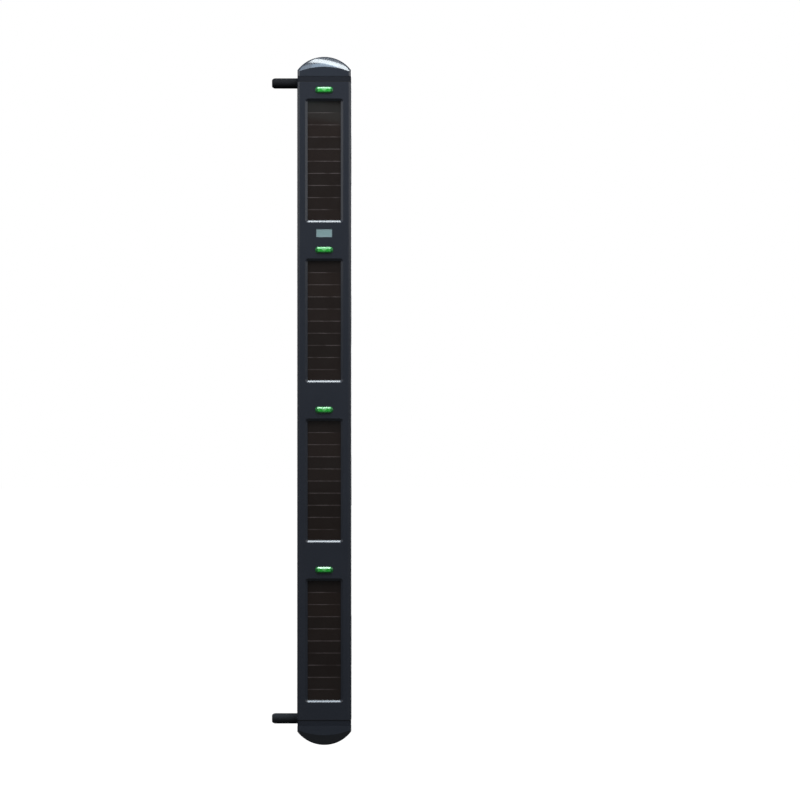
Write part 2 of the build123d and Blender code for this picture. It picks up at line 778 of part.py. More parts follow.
# Battery cells: sealed round lithium cells with a raised button on their upper end
for name, low_z in {
    "battery_cell_upper": battery_contact_thickness / 2,
    "battery_cell_lower": -battery_contact_thickness / 2 - cell_length,
}.items():
    with BuildPart() as battery_cell:
        with BuildSketch(Plane(origin=(axis_x, battery_y, low_z))):
            Circle(cell_diameter / 2)
        extrude(amount=cell_length - cell_button_height)
        fillet(battery_cell.edges(), cell_shoulder_radius)
        with BuildSketch(Plane(origin=(axis_x, battery_y, low_z + cell_length - cell_button_height))):
            Circle(cell_button_diameter / 2)
        extrude(amount=cell_button_height)
    keep(battery_cell.part, name)

# Radio module: a shielded module on the upper board's back
with BuildPart() as radio_module:
    with BuildSketch(facing(board_back_y, radio_z)):
        Rectangle(radio_width, radio_length)
    extrude(amount=-radio_height)
    fillet(radio_module.edges().filter_by(Axis.Y), radio_edge_radius)
keep(radio_module.part, "radio_module")

# Antenna: a short rubber whip on a square base, above the radio module
with BuildPart() as antenna:
    base_z = radio_z + radio_length / 2
    with BuildSketch(facing(board_back_y, base_z + antenna_base_length / 2, axis_x - antenna_offset)):
        Rectangle(antenna_base_size, antenna_base_length)
    extrude(amount=-antenna_base_size)
    whip_y = board_back_y + antenna_base_size / 2
    with BuildSketch(Plane(origin=(axis_x - antenna_offset, whip_y, base_z + antenna_base_length))):
        Circle(antenna_diameter / 2)
    extrude(amount=antenna_length)
    fillet(antenna.faces().sort_by(Axis.Z)[-1].edges(), antenna_tip_radius)
keep(antenna.part, "antenna")

# Holder screws: from the boards' front into the lens holders and through the battery tray
with BuildPart() as holder_screws:
    lens_spots = [
        (holder_mid_x - axis_x + spot_x, z + spot_z)
        for z in window_levels
        for spot_x, spot_z in holder_screw_spots
    ]
    with BuildSketch(facing(board_front_y)):
        with Locations(*lens_spots, *battery_screw_spots):
            Circle(holder_screw_head_diameter / 2)
    extrude(amount=holder_screw_head_height)
    with BuildSketch(facing(board_front_y)):
        with Locations(*lens_spots):
            Circle(holder_screw_diameter / 2)
    extrude(amount=-(board_thickness + holder_screw_length))
    with BuildSketch(facing(board_front_y)):
        with Locations(*battery_screw_spots):
            Circle(holder_screw_diameter / 2)
    extrude(amount=-(board_thickness + battery_floor))
keep(holder_screws.part, "holder_screws")
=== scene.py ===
import math

import bmesh
import bpy
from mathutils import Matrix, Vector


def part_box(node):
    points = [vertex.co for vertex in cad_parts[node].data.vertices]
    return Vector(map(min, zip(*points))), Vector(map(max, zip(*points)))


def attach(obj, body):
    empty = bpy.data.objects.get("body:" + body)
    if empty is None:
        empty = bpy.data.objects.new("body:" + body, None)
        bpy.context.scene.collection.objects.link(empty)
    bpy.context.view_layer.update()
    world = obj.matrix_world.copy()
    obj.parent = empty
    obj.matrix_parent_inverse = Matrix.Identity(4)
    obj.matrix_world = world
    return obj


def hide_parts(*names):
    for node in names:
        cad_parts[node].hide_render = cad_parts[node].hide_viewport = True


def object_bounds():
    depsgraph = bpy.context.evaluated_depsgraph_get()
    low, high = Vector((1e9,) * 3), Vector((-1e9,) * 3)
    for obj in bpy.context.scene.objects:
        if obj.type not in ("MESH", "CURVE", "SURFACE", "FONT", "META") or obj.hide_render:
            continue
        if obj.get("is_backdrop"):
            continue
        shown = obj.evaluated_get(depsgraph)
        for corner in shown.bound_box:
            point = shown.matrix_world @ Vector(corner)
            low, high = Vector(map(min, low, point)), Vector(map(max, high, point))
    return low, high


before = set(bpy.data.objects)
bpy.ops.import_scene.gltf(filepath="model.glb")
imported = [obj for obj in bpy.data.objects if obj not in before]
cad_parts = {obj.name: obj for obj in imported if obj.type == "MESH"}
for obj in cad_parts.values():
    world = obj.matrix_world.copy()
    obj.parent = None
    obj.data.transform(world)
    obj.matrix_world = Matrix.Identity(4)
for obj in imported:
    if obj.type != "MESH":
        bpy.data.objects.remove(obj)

scene = bpy.context.scene
scene.view_settings.view_transform = "Standard"
cad_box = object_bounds()

# Camera: straight in front of the bar, level with its middle and far back with a long lens,
# because the photograph shows no perspective. The bar stands left of the picture's middle.
FRAME_WIDTH = 0.96
LENS = 300.0
SENSOR_WIDTH = 36.0
VIEW_DEPTH = 100.0
BAR_LEFT_OF_MIDDLE = 0.0910
CAMERA_HEIGHT = 0.0011
cover_low, cover_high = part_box("front_cover")
bar_middle = (cover_low.x + cover_high.x) / 2
camera = bpy.data.cameras.new("camera")
camera.lens = LENS
camera.sensor_width = SENSOR_WIDTH
camera.clip_end = VIEW_DEPTH
camera_object = bpy.data.objects.new("camera", camera)
camera_distance = FRAME_WIDTH * LENS / SENSOR_WIDTH
camera_object.location = (bar_middle + BAR_LEFT_OF_MIDDLE, cover_low.y - camera_distance, CAMERA_HEIGHT)
camera_object.rotation_euler = (math.radians(90), 0, 0)
scene.collection.objects.link(camera_object)
scene.camera = camera_object

# Floor: a plain pale studio floor a little under the bar, which hangs by its arms. It shows white
# to the camera, and gloss sees it dim, because the bevels that look down are dark in the photograph.
FLOOR_DROP = 0.09
FLOOR_RADIUS = 30.0
FLOOR_TONE = 0.08
FLOOR_GLOW = 1.0


def link(tree, output, target):
    tree.links.new(output, target)


def node(tree, kind, **settings):
    """A new node with its settings."""
    made = tree.nodes.new(kind)
    for key, value in settings.items():
        setattr(made, key, value)
    return made


def arithmetic(tree, operation, *values):
    """The result of a Math node for up to three values, each a number or an output."""
    made = node(tree, "ShaderNodeMath", operation=operation)
    for socket, value in zip(made.inputs, values):
        if isinstance(value, (int, float)):
            socket.default_value = value
        else:
            link(tree, value, socket)
    return made.outputs["Value"]


floor_form = bmesh.new()
bmesh.ops.create_circle(floor_form, cap_ends=True, segments=64, radius=FLOOR_RADIUS)
bmesh.ops.translate(floor_form, verts=floor_form.verts, vec=(bar_middle, 0, cad_box[0].z - FLOOR_DROP))
floor_mesh = bpy.data.meshes.new("floor")
floor_form.to_mesh(floor_mesh)
floor_form.free()
floor = bpy.data.objects.new("floor", floor_mesh)
scene.collection.objects.link(floor)
floor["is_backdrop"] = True

floor_material = bpy.data.materials.new("studio_floor")
floor_material.use_nodes = True
tree = floor_material.node_tree
tree.nodes.clear()
paint = node(tree, "ShaderNodeBsdfDiffuse")
paint.inputs["Color"].default_value = (FLOOR_TONE, FLOOR_TONE, FLOOR_TONE, 1)
path = node(tree, "ShaderNodeLightPath")
seen = arithmetic(tree, "MAXIMUM", path.outputs["Is Camera Ray"], path.outputs["Is Transmission Ray"])
glow = node(tree, "ShaderNodeEmission")
link(tree, arithmetic(tree, "MULTIPLY", seen, FLOOR_GLOW), glow.inputs["Strength"])
both = node(tree, "ShaderNodeAddShader")
link(tree, paint.outputs["BSDF"], both.inputs[0])
link(tree, glow.outputs["Emission"], both.inputs[1])
surface = node(tree, "ShaderNodeOutputMaterial")
link(tree, both.outputs["Shader"], surface.inputs["Surface"])
floor_mesh.materials.append(floor_material)

# World: white to the camera. Gloss sees a white backdrop low behind the bar and a dim room in
# front of it, and everything else gets an even soft light that is stronger from above.
AMBIENT_BELOW = 0.06
AMBIENT_ABOVE = 0.25
AMBIENT_HEIGHTS = (-0.4, 0.8)
ROOM = 0.06
BACKDROP = 0.8
BACKDROP_DEPTHS = (0.2, 0.8)
BACKDROP_HEIGHTS = (0.20, 0.05)


def ramp(tree, value, start, end):
    """0 at start and 1 at end, with soft ends."""
    made = node(tree, "ShaderNodeMapRange", interpolation_type="SMOOTHSTEP")
    made.inputs["From Min"].default_value = start
    made.inputs["From Max"].default_value = end
    link(tree, value, made.inputs["Value"])
    return made.outputs["Result"]


world = bpy.data.worlds.new("studio")
world.use_nodes = True
world.cycles.sampling_method = "NONE"
scene.world = world
tree = world.node_tree
tree.nodes.clear()
path = node(tree, "ShaderNodeLightPath")
place = node(tree, "ShaderNodeTexCoord")
axes = node(tree, "ShaderNodeSeparateXYZ")
link(tree, place.outputs["Generated"], axes.inputs["Vector"])
behind = ramp(tree, axes.outputs["Y"], *BACKDROP_DEPTHS)
low = ramp(tree, arithmetic(tree, "ABSOLUTE", axes.outputs["Z"]), *BACKDROP_HEIGHTS)
backdrop = arithmetic(tree, "MULTIPLY", behind, low)
seen_in_gloss = arithmetic(tree, "MULTIPLY_ADD", backdrop, BACKDROP, ROOM)
ambient = node(tree, "ShaderNodeMapRange")
ambient.inputs["From Min"].default_value, ambient.inputs["From Max"].default_value = AMBIENT_HEIGHTS
ambient.inputs["To Min"].default_value = AMBIENT_BELOW
ambient.inputs["To Max"].default_value = AMBIENT_ABOVE
link(tree, axes.outputs["Z"], ambient.inputs["Value"])
gloss = arithmetic(tree, "MAXIMUM", path.outputs["Is Glossy Ray"], path.outputs["Is Transmission Ray"])
light = node(tree, "ShaderNodeMix", data_type="FLOAT")
link(tree, gloss, light.inputs["Factor"])
link(tree, ambient.outputs["Result"], light.inputs["A"])
link(tree, seen_in_gloss, light.inputs["B"])
sky = node(tree, "ShaderNodeBackground")
sky.inputs["Color"].default_value = (1, 1, 1, 1)
level = arithmetic(tree, "MAXIMUM", light.outputs["Result"], path.outputs["Is Camera Ray"])
link(tree, level, sky.inputs["Strength"])
surface = node(tree, "ShaderNodeOutputWorld")
link(tree, sky.outputs["Background"], surface.inputs["Surface"])


# Studio lamps: a long softbox high overhead that the bevels mirror, beside two bluer ones, one high
# in front, so that the light falls off down the bar, dim ones at the sides and one behind. The top
# panel's glass mirrors a dim card that stands far in front.
def softbox(name, place, size, turns, brightness, color):
    """A rectangular studio lamp, turned by degrees, whose face has a brightness where 1 is white."""
    lamp = bpy.data.lights.new(name, "AREA")
    lamp.shape = "RECTANGLE"
    lamp.size, lamp.size_y = size
    lamp.energy = brightness * math.pi * size[0] * size[1]
    lamp.color = color
    lamp_object = bpy.data.objects.new(name, lamp)
    lamp_object.location = place
    lamp_object.rotation_euler = [math.radians(turn) for turn in turns]
    lamp_object.visible_camera = False
    scene.collection.objects.link(lamp_object)


softbox("overhead_softbox", (0.32, -0.43, 2.6), (1.5, 0.36), (0, 0, -31), 12.4, (0.90, 0.97, 1.0))
softbox("blue_softbox", (0.05, -0.63, 2.65), (0.80, 0.40), (0, 0, 0), 3.6, (0.46, 0.71, 1.0))
softbox("blue_side_softbox", (-0.60, -0.63, 2.65), (0.50, 0.40), (0, 0, 0), 2.1, (0.55, 0.76, 1.0))
softbox("front_softbox", (0.1, -0.95, 1.75), (1.5, 0.6), (35, 0, 0), 10.3, (0.95, 0.98, 1.0))
softbox("left_softbox", (-1.45, -1.25, 0.82), (1.24, 2.4), (0, -90, 0), 1.05, (1, 1, 1))
softbox("right_softbox", (1.60, -1.25, 0.82), (1.24, 2.4), (0, 90, 0), 1.1, (1, 1, 1))
softbox("back_softbox", (0.1, 2.0, 0.20), (2.6, 1.2), (-90, 0, 0), 1.4, (0.97, 0.98, 1.0))
softbox("front_card", (0.03, -3.0, 0.477), (0.3, 0.028), (90, 9, 0), 0.3, (0.7, 0.97, 1.0))


# Front cover: a long tray moulded in dark grey plastic with four bevelled windows, which hooks on
# to the housing's tongues. A satin clear lacquer gives it a second, sharper gloss. The bevel at the
# foot of each window is polished along its middle and matt at its two rims.
def tone(red, green, blue):
    """A display colour, each part 0 to 255, as linear light with full cover."""
    parts = [value / 255 for value in (red, green, blue)]
    return tuple(c / 12.92 if c <= 0.04045 else ((c + 0.055) / 1.055) ** 2.4 for c in parts) + (1.0,)


GREY_BLUE = tone(41, 46, 56)
COVER_GLOSS = 0.37
POLISH_GLOSS = 0.94
WINDOW_HALF_WIDTH = 0.0226
FOOT_BEVEL_TOP = 0.0716
FOOT_BEVEL_END = 0.0745
POLISH_MIDDLE = 0.07306
POLISH_HALF = 0.00068
SOFT_RIM = 0.0002
RELIEF_DEPTH = 0.0002


def finish_group():
    """Uneven tone and gloss with a fine surface texture, as moulding and coating leave them."""
    group = bpy.data.node_groups.new("uneven_finish", "ShaderNodeTree")
    for side, name, kind in (
        ("INPUT", "Vector", "NodeSocketVector"),
        ("INPUT", "Color", "NodeSocketColor"),
        ("INPUT", "Tone Spread", "NodeSocketFloat"),
        ("INPUT", "Roughness", "NodeSocketFloat"),
        ("INPUT", "Roughness Spread", "NodeSocketFloat"),
        ("INPUT", "Patch Scale", "NodeSocketFloat"),
        ("INPUT", "Grain Scale", "NodeSocketFloat"),
        ("OUTPUT", "Color", "NodeSocketColor"),
        ("OUTPUT", "Roughness", "NodeSocketFloat"),
        ("OUTPUT", "Height", "NodeSocketFloat"),
    ):
        group.interface.new_socket(name, in_out=side, socket_type=kind)
    start = node(group, "NodeGroupInput").outputs
    end = node(group, "NodeGroupOutput").inputs
    patches = node(group, "ShaderNodeTexNoise")
    patches.inputs["Detail"].default_value = 3
    link(group, start["Vector"], patches.inputs["Vector"])
    link(group, start["Patch Scale"], patches.inputs["Scale"])
    swing = arithmetic(group, "MULTIPLY_ADD", patches.outputs["Fac"], 2.0, -1.0)
    gloss = arithmetic(group, "MULTIPLY_ADD", swing, start["Roughness Spread"], start["Roughness"])
    link(group, gloss, end["Roughness"])
    tint = node(group, "ShaderNodeVectorMath", operation="SCALE")
    link(group, start["Color"], tint.inputs[0])
    link(group, arithmetic(group, "MULTIPLY_ADD", swing, start["Tone Spread"], 1.0), tint.inputs["Scale"])
    link(group, tint.outputs["Vector"], end["Color"])
    grain = node(group, "ShaderNodeTexNoise")
    grain.inputs["Detail"].default_value = 2
    link(group, start["Vector"], grain.inputs["Vector"])
    link(group, start["Grain Scale"], grain.inputs["Scale"])
    link(group, grain.outputs["Fac"], end["Height"])
    return group


uneven_finish = finish_group()


def new_material(name):
    """A material with a Principled shader; returns it with its tree and shader."""
    made = bpy.data.materials.new(name)
    made.use_nodes = True
    made.node_tree.nodes.clear()
    surface = node(made.node_tree, "ShaderNodeOutputMaterial")
    shader = node(made.node_tree, "ShaderNodeBsdfPrincipled")
    link(made.node_tree, shader.outputs["BSDF"], surface.inputs["Surface"])
    return made, made.node_tree, shader


def finished(name, color, roughness, grain=1800.0, bump=0.03, spread=0.06, gloss_spread=0.04, patch=30.0,
             **sockets):
    """A material whose tone and gloss vary a little, with fixed values set on the shader's own sockets."""
    made, tree, shader = new_material(name)
    place = node(tree, "ShaderNodeTexCoord")
    uneven = node(tree, "ShaderNodeGroup", node_tree=uneven_finish)
    link(tree, place.outputs["Object"], uneven.inputs["Vector"])
    for socket, value in (
        ("Color", color),
        ("Tone Spread", spread),
        ("Roughness", roughness),
        ("Roughness Spread", gloss_spread),
        ("Patch Scale", patch),
        ("Grain Scale", grain),
    ):
        uneven.inputs[socket].default_value = value
    link(tree, uneven.outputs["Color"], shader.inputs["Base Color"])
    link(tree, uneven.outputs["Roughness"], shader.inputs["Roughness"])
    relief = node(tree, "ShaderNodeBump")
    relief.inputs["Strength"].default_value = bump
    relief.inputs["Distance"].default_value = RELIEF_DEPTH
    link(tree, uneven.outputs["Height"], relief.inputs["Height"])
    link(tree, relief.outputs["Normal"], shader.inputs["Normal"])
    for socket, value in sockets.items():
        shader.inputs[socket.replace("_", " ").title().replace("Ior", "IOR")].default_value = value
    return made


def node_of(material, kind):
    return next(n for n in material.node_tree.nodes if n.type == kind)


def dress(material, *names):
    """Give CAD nodes a material."""
    for name in names:
        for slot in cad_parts[name].material_slots:
            slot.material = material


def middle_of(name):
    low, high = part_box(name)
    return (low + high) / 2


def centred(tree, name, pitch=None, lift=0.0):
    """Coordinates with their zero at a piece's middle, as a vector and as the ways across and up.
    With a pitch the way up starts again at each of the like pieces below."""
    place = node(tree, "ShaderNodeTexCoord")
    shift = node(tree, "ShaderNodeMapping")
    shift.inputs["Location"].default_value = -middle_of(name)
    shift.inputs["Location"].default_value[2] += lift
    link(tree, place.outputs["Object"], shift.inputs["Vector"])
    axes = node(tree, "ShaderNodeSeparateXYZ")
    link(tree, shift.outputs["Vector"], axes.inputs["Vector"])
    up = axes.outputs["Z"]
    if pitch:
        up = arithmetic(tree, "WRAP", up, pitch / 2, -pitch / 2)
    return shift.outputs["Vector"], axes.outputs["X"], up


panel_pitch = (middle_of("solar_panel_1") - middle_of("solar_panel_2")).z
cover_satin = finished("cover_satin", GREY_BLUE, roughness=0.42, bump=0.002,
                       coat_roughness=0.15, coat_ior=1.6)
tree = cover_satin.node_tree
_, across, up = centred(tree, "solar_panel_1", panel_pitch)
down = arithmetic(tree, "MULTIPLY", up, -1.0)
under_window = ramp(tree, arithmetic(tree, "ABSOLUTE", across),
                    WINDOW_HALF_WIDTH + SOFT_RIM, WINDOW_HALF_WIDTH - SOFT_RIM)
below_top = ramp(tree, down, FOOT_BEVEL_TOP - SOFT_RIM, FOOT_BEVEL_TOP)
above_end = ramp(tree, down, FOOT_BEVEL_END + SOFT_RIM, FOOT_BEVEL_END)
matt = arithmetic(tree, "MULTIPLY", under_window, arithmetic(tree, "MULTIPLY", below_top, above_end))
off_middle = arithmetic(tree, "ABSOLUTE", arithmetic(tree, "SUBTRACT", down, POLISH_MIDDLE))
polished = arithmetic(tree, "MULTIPLY", under_window,
                      ramp(tree, off_middle, POLISH_HALF + SOFT_RIM, POLISH_HALF - SOFT_RIM))
lacquer = arithmetic(tree, "MULTIPLY", arithmetic(tree, "SUBTRACT", 1.0, matt), COVER_GLOSS)
link(tree, arithmetic(tree, "MAXIMUM", lacquer, arithmetic(tree, "MULTIPLY", polished, POLISH_GLOSS)),
     node_of(cover_satin, "BSDF_PRINCIPLED").inputs["Coat Weight"])
dress(cover_satin, "front_cover")

# Rear housing: an aluminium extrusion cut to length, with slots for the boards and hooked tongues
# for the cover. It has a powder coat of the cover's grey, a little rougher.
housing_coat = finished("housing_coat", GREY_BLUE, roughness=0.46, grain=900.0, bump=0.03,
                        coat_weight=0.5, coat_roughness=0.25)
dress(housing_coat, "rear_housing")

# End caps: hollow glossy mouldings with an arched end and a bevelled front. Two screws from the
# end hold each, through the collar, in the housing's channels.
cap_gloss = finished("cap_gloss", tone(39, 46, 58), roughness=0.45, bump=0.003,
                     coat_weight=1.0, coat_roughness=0.09, coat_ior=1.6)
dress(cap_gloss, "top_cap", "bottom_cap")

# End brackets: castings with a plug inside the housing, a collar that shows as a dark band between
# cap and housing, and an arm. The collar is painted dark grey and the arm has a black matt coat.
# The lower bracket's collar and arm are painted a shade paler: painted light from below.
COLLAR_GREY = tone(39, 42, 49)
LOW_COLLAR_PAINTED_LIGHTER = tone(43, 47, 56)
ARM_BLACK = tone(27, 28, 31)
LOW_ARM_PAINTED_LIGHTER = tone(46, 49, 54)


def blend(tree, factor, first, second):
    """A colour between two, each a value or an output."""
    made = node(tree, "ShaderNodeMix", data_type="RGBA")
    link(tree, factor, made.inputs["Factor"])
    for socket, value in zip((made.inputs[6], made.inputs[7]), (first, second)):
        if isinstance(value, tuple):
            socket.default_value = value
        else:
            link(tree, value, socket)
    return made.outputs[2]


bracket_coat = finished("bracket_coat", COLLAR_GREY, roughness=0.8, grain=900.0, bump=0.03,
                        specular_ior_level=0.12)
tree = bracket_coat.node_tree
place = node(tree, "ShaderNodeTexCoord")
axes = node(tree, "ShaderNodeSeparateXYZ")
link(tree, place.outputs["Object"], axes.inputs["Vector"])
on_collar = arithmetic(tree, "GREATER_THAN", axes.outputs["X"], cover_low.x)
# Painted light: below the middle the brackets take paler copies of their colours.
on_upper = arithmetic(tree, "GREATER_THAN", axes.outputs["Z"], 0.0)
coat = blend(tree, on_collar, blend(tree, on_upper, LOW_ARM_PAINTED_LIGHTER, ARM_BLACK),
             blend(tree, on_upper, LOW_COLLAR_PAINTED_LIGHTER, COLLAR_GREY))
link(tree, coat, node_of(bracket_coat, "GROUP").inputs["Color"])
dress(bracket_coat, "top_bracket", "bottom_bracket")

# Gaskets: flat rings cut from black rubber sheet, open where the arm passes. Each is pressed
# between the housing's end and the collar.
gasket_rubber = finished("gasket_rubber", tone(30, 31, 34), roughness=0.75, bump=0.15, specular_ior_level=0.3)
dress(gasket_rubber, "top_gasket", "bottom_gasket")

# Solar panels: thin film cells on the back of a glass plate behind each window. Nine fine silver
# lines part the ten brown black cells. A painted highlight makes the lines paler in a panel's middle
# than towards its corners.
CELL_PITCH = 0.01455
LINE_WIDTH = 0.0008
LINE_CORE = 0.38 * LINE_WIDTH / CELL_PITCH
LINE_FADE = 0.62 * LINE_WIDTH / CELL_PITCH
LINES_BELOW_MIDDLE = 0.0007
LINE_SILVER = tone(92, 84, 84)
CELL_LIGHT = tone(40, 30, 26)
CELL_DARK = tone(32, 24, 21)
PAINTED_GLEAM_LEFT = 0.005
PAINTED_GLEAM_WIDTH = 0.031
PAINTED_GLEAM_HEIGHT = 0.078
PAINTED_GLEAM_END = 1.15
PAINTED_GLEAM_FULL = 0.45
SMEAR_SCALE = 60.0
SMEAR_RANGE = (0.3, 0.6)
SMEAR_LEAST = 0.25
FILM_ROUGHNESS = 0.3
FILM_ROUGHNESS_SPREAD = 0.15


def four(name):
    return [f"{name}_{number}" for number in range(1, 5)]


solar_cells, tree, shader = new_material("solar_cells")
spot, across, up = centred(tree, "solar_panel_1", panel_pitch, LINES_BELOW_MIDDLE)
count = arithmetic(tree, "DIVIDE", up, CELL_PITCH)
nearest_line = arithmetic(tree, "ROUND", count)
from_line = arithmetic(tree, "ABSOLUTE", arithmetic(tree, "SUBTRACT", count, nearest_line))
line = ramp(tree, from_line, LINE_FADE, LINE_CORE)
# Painted highlight: the lines' silver is brightest in an oval a little left of each panel's middle.
sideways = arithmetic(tree, "DIVIDE", arithmetic(tree, "ADD", across, PAINTED_GLEAM_LEFT), PAINTED_GLEAM_WIDTH)
upwards = arithmetic(tree, "DIVIDE", up, PAINTED_GLEAM_HEIGHT)
reach = arithmetic(tree, "MULTIPLY_ADD", sideways, sideways, arithmetic(tree, "MULTIPLY", upwards, upwards))
painted_gleam = ramp(tree, reach, PAINTED_GLEAM_END, PAINTED_GLEAM_FULL)
smear = node(tree, "ShaderNodeTexNoise")
smear.inputs["Scale"].default_value = SMEAR_SCALE
link(tree, spot, smear.inputs["Vector"])
patchy = arithmetic(tree, "MULTIPLY_ADD", ramp(tree, smear.outputs["Fac"], *SMEAR_RANGE),
                    1.0 - SMEAR_LEAST, SMEAR_LEAST)
silver = arithmetic(tree, "MULTIPLY", line, arithmetic(tree, "MULTIPLY", painted_gleam, patchy))
each = node(tree, "ShaderNodeTexWhiteNoise", noise_dimensions="1D")
link(tree, arithmetic(tree, "FLOOR", count), each.inputs["W"])
film = blend(tree, each.outputs["Value"], CELL_DARK, CELL_LIGHT)
link(tree, blend(tree, silver, film, LINE_SILVER), shader.inputs["Base Color"])
film_gloss = arithmetic(tree, "MULTIPLY_ADD", smear.outputs["Fac"], FILM_ROUGHNESS_SPREAD, FILM_ROUGHNESS)
link(tree, film_gloss, shader.inputs["Roughness"])
shader.inputs["Coat Weight"].default_value = 1.0
shader.inputs["Coat Roughness"].default_value = 0.03
dress(solar_cells, *four("solar_panel"))

# Panel seals: rings cut from black foam, pressed between each glass plate and the back of the
# cover. They keep rain out.
seal_foam = finished("seal_foam", tone(18, 18, 18), roughness=0.9, bump=0.3, specular_ior_level=0.2)
dress(seal_foam, *four("panel_seal"))

# Indicator lenses: clear green mouldings with a bevel all round and a flange behind the cover. The
# face carries a painted glow: a pale wedge that widens upwards and pale ends, fading towards its foot.
# The upper bevel carries a painted highlight and is polished up to its matt rim, and the side and
# lower bevels and the top rim carry painted shade in deep green.
LENS_DEEP = tone(46, 182, 62)
LENS_PAINTED_GLOW = tone(140, 228, 146)
LENS_PAINTED_SHADE = tone(36, 124, 56)
LENS_PAINTED_HIGHLIGHT = tone(150, 235, 165)
GLOW_WEDGE_HALF_WIDTH = 0.0021
GLOW_WEDGE_WIDENING = 0.85
GLOW_WEDGE_RIM = (0.0009, -0.0012)
PAINTED_END_GLOW = 0.35
PAINTED_END_GLOW_RISE = (0.0045, 0.0065)
GLOW_FADE_HALF_HEIGHT = 0.0024
GLOW_FADE_FOOT = 0.1
SHADED_SIDE_BEVEL = (0.0069, 0.0081)
SHADED_LOW_BEVEL = (-0.0006, -0.0030)
HIGHLIT_TOP_BEVEL = (0.0010, 0.0020)
HIGHLIT_TOP_BEVEL_ENDS = (0.0088, 0.0076)
SHADED_TOP_RIM = (0.0026, 0.0033)
POLISHED_TO = (0.0035, 0.0027)
HAZE_SCALE = 400.0
HAZE_ROUGHNESS = 0.3
clear_green, tree, shader = new_material("clear_green")
spot, across, up = centred(tree, "indicator_lens_1", panel_pitch)
out = arithmetic(tree, "ABSOLUTE", across)
# Painted glow: a pale wedge up the middle of the face and pale ends, fading towards the foot.
glow_wedge_half = arithmetic(tree, "MULTIPLY_ADD", up, GLOW_WEDGE_WIDENING, GLOW_WEDGE_HALF_WIDTH)
painted_glow_wedge = ramp(tree, arithmetic(tree, "SUBTRACT", out, glow_wedge_half), *GLOW_WEDGE_RIM)
painted_end_glow = arithmetic(tree, "MULTIPLY", ramp(tree, out, *PAINTED_END_GLOW_RISE), PAINTED_END_GLOW)
painted_lightness = arithmetic(tree, "MAXIMUM", painted_glow_wedge, painted_end_glow)
painted_glow_fade = arithmetic(tree, "ADD", ramp(tree, up, -GLOW_FADE_HALF_HEIGHT, GLOW_FADE_HALF_HEIGHT), GLOW_FADE_FOOT)
face = blend(tree, arithmetic(tree, "MULTIPLY", painted_lightness, painted_glow_fade), LENS_DEEP, LENS_PAINTED_GLOW)
# Painted shade: the side and lower bevels and the top rim are darkened to a deep green.
painted_bevel_shade = arithmetic(tree, "MAXIMUM", ramp(tree, out, *SHADED_SIDE_BEVEL), ramp(tree, up, *SHADED_LOW_BEVEL))
body = blend(tree, painted_bevel_shade, face, LENS_PAINTED_SHADE)
body = blend(tree, ramp(tree, up, *SHADED_TOP_RIM), body, LENS_PAINTED_SHADE)
polished = ramp(tree, up, *POLISHED_TO)
# Painted highlight: the upper bevel is painted pale up to its rim.
top = arithmetic(tree, "MULTIPLY", ramp(tree, up, *HIGHLIT_TOP_BEVEL), ramp(tree, out, *HIGHLIT_TOP_BEVEL_ENDS))
link(tree, blend(tree, arithmetic(tree, "MULTIPLY", top, polished), body, LENS_PAINTED_HIGHLIGHT),
     shader.inputs["Base Color"])
haze = node(tree, "ShaderNodeTexNoise")
haze.inputs["Scale"].default_value = HAZE_SCALE
link(tree, spot, haze.inputs["Vector"])
link(tree, arithmetic(tree, "MULTIPLY", haze.outputs["Fac"], HAZE_ROUGHNESS), shader.inputs["Roughness"])
link(tree, polished, shader.inputs["Coat Weight"])
shader.inputs["Coat Roughness"].default_value = 0.06
dress(clear_green, *four("indicator_lens"))

# Display: a small reflective display on the upper board, whose grey green field shows through a
# clear pane with a flange behind the cover. The field has a slightly paler margin and the faint
# grid of its electrodes.
DISPLAY_FIELD = tone(145, 176, 178)
DISPLAY_MARGIN = tone(152, 178, 182)
FLANGE_AND_MARGIN = 0.0031
MARGIN_RIM = 0.0004
GRID_PITCH = 0.0004
GRID_LINE = (0.8, 1.0)
GRID_STRENGTH = 0.12
display_pane, tree, shader = new_material("display_pane")
_, across, up = centred(tree, "display_window")
pane_low, pane_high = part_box("display_window")
margins = []
lines = []
for way, size in ((across, pane_high.x - pane_low.x), (up, pane_high.z - pane_low.z)):
    half = size / 2 - FLANGE_AND_MARGIN
    margins.append(ramp(tree, arithmetic(tree, "ABSOLUTE", way), half - MARGIN_RIM, half))
    step = arithmetic(tree, "FRACT", arithmetic(tree, "DIVIDE", way, GRID_PITCH))
    lines.append(ramp(tree, step, *GRID_LINE))
grid = arithmetic(tree, "MULTIPLY", arithmetic(tree, "MAXIMUM", *lines), GRID_STRENGTH)
field = blend(tree, grid, DISPLAY_FIELD, DISPLAY_MARGIN)
link(tree, blend(tree, arithmetic(tree, "MAXIMUM", *margins), field, DISPLAY_MARGIN),
     shader.inputs["Base Color"])
shader.inputs["Roughness"].default_value = 0.35
shader.inputs["Coat Weight"].default_value = 1.0
shader.inputs["Coat Roughness"].default_value = 0.05
dress(display_pane, "display_window")
display_body = finished("display_body", tone(128, 132, 134), roughness=0.5)
dress(display_body, "display_module")

# Beam windows: infrared filters, moulded in a plastic that looks red black. Each is glued behind
# its opening in the housing's side.
beam_filter = finished("beam_filter", tone(22, 11, 15), roughness=0.12, bump=0.0, gloss_spread=0.02,
                       coat_weight=1.0)
dress(beam_filter, *four("beam_window"))

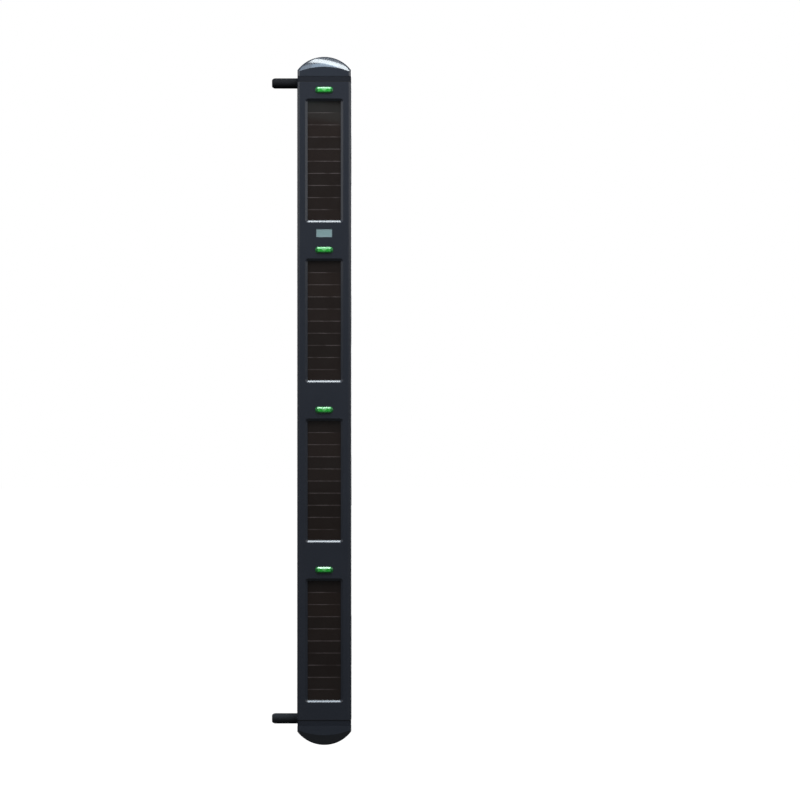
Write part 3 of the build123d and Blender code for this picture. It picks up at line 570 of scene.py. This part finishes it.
# Beam optics: clear moulded lenses in black holders, each with a diode on its own small board. The
# battery tray and the boards' connector are moulded in the same black.
beam_lens = finished("beam_lens", tone(246, 248, 250), roughness=0.03, bump=0.0, gloss_spread=0.01,
                     spread=0.01, transmission_weight=1.0, ior=1.49)
dress(beam_lens, *four("beam_lens"))
holder_black = finished("holder_black", tone(24, 24, 25), roughness=0.55, bump=0.05)
dress(holder_black, "battery_holder", "board_connector", *four("lens_holder"))
diode_clear = finished("diode_clear", tone(205, 208, 214), roughness=0.12, bump=0.0, transmission_weight=0.6)
dress(diode_clear, "infrared_diodes", "indicator_leds")

# Circuit boards: glass fibre sheet under green lacquer, with the copper showing as a paler weave.
# The two long ones slide into the housing's slots, and a small one closes each lens holder.
board_green = finished("board_green", tone(22, 84, 48), roughness=0.35, grain=260.0, bump=0.1,
                       spread=0.18, patch=220.0)
dress(board_green, "main_board_upper", "main_board_lower", *four("emitter_board"))

# Contacts: sprung pins behind the solar panels and strips at the ends of the battery cells, in
# nickel plated steel.
contact_plate = finished("contact_plate", tone(205, 198, 180), roughness=0.32, bump=0.05, metallic=1.0)
dress(contact_plate, "panel_contacts", "battery_contacts")

# Battery cells: two sealed round lithium cells in a blue shrink sleeve, with a raised button on
# the upper end. They lie in line in their tray.
cell_sleeve = finished("cell_sleeve", tone(38, 84, 160), roughness=0.3, grain=500.0, bump=0.05,
                       coat_weight=0.4)
dress(cell_sleeve, "battery_cell_upper", "battery_cell_lower")

# Radio: a module under a tinned shield can on the back of the upper board, and above it a short
# whip in black rubber on a square base.
radio_shield = finished("radio_shield", tone(192, 194, 198), roughness=0.35, grain=700.0, bump=0.08,
                        metallic=1.0)
dress(radio_shield, "radio_module")
antenna_rubber = finished("antenna_rubber", tone(24, 24, 25), roughness=0.7, bump=0.12)
dress(antenna_rubber, "antenna")

# Screws: pan heads with a hexagon socket, in bright plated steel. Two hold each cap, and others
# hold the lens holders and the battery tray to the boards.
screw_steel = finished("screw_steel", tone(176, 178, 182), roughness=0.3, grain=1200.0, bump=0.06,
                       metallic=1.0)
dress(screw_steel, "cap_screws", "holder_screws")

# Threaded inserts: turned brass bushes pressed into the arm ends, with an M5 thread in the bore
# and a countersunk mouth. Half the bush's section is drawn and spun about its axis.
INSERT_RADIUS = 0.0032
BORE_RADIUS = 0.0021
THREAD_DEPTH = 0.00038
THREAD_PITCH = 0.0008
MOUTH_DEPTH = 0.0005
INSERT_LENGTH = 0.010
INSERT_FACETS = 48
SAME_POINT = 1e-6
insert_brass = finished("insert_brass", tone(214, 172, 92), roughness=0.28, grain=1500.0, bump=0.05,
                        metallic=1.0)
insert_low, insert_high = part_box("threaded_inserts")
section = [(0.0, INSERT_RADIUS), (0.0, BORE_RADIUS + MOUTH_DEPTH), (MOUTH_DEPTH, BORE_RADIUS)]
for turn in range(int((INSERT_LENGTH - 2 * MOUTH_DEPTH) / THREAD_PITCH)):
    root = MOUTH_DEPTH + (turn + 0.5) * THREAD_PITCH
    section += [(root, BORE_RADIUS + THREAD_DEPTH), (root + THREAD_PITCH / 2, BORE_RADIUS)]
section += [(INSERT_LENGTH, BORE_RADIUS), (INSERT_LENGTH, INSERT_RADIUS)]
for end, centre_z in (("top", insert_high.z - INSERT_RADIUS), ("bottom", insert_low.z + INSERT_RADIUS)):
    form = bmesh.new()
    corners = [form.verts.new((insert_low.x + along, 0.0, centre_z + radius)) for along, radius in section]
    for first, second in zip(corners, corners[1:] + corners[:1]):
        form.edges.new((first, second))
    bmesh.ops.spin(form, geom=form.verts[:] + form.edges[:], cent=(0.0, 0.0, centre_z), axis=(1, 0, 0),
                   angle=math.tau, steps=INSERT_FACETS, use_merge=True)
    bmesh.ops.remove_doubles(form, verts=form.verts, dist=SAME_POINT)
    bmesh.ops.recalc_face_normals(form, faces=form.faces)
    mesh = bpy.data.meshes.new(f"{end}_insert")
    form.to_mesh(mesh)
    form.free()
    insert = bpy.data.objects.new(f"{end}_insert", mesh)
    scene.collection.objects.link(insert)
    mesh.materials.append(insert_brass)
    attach(insert, "root")
    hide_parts("threaded_inserts")

low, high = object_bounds()
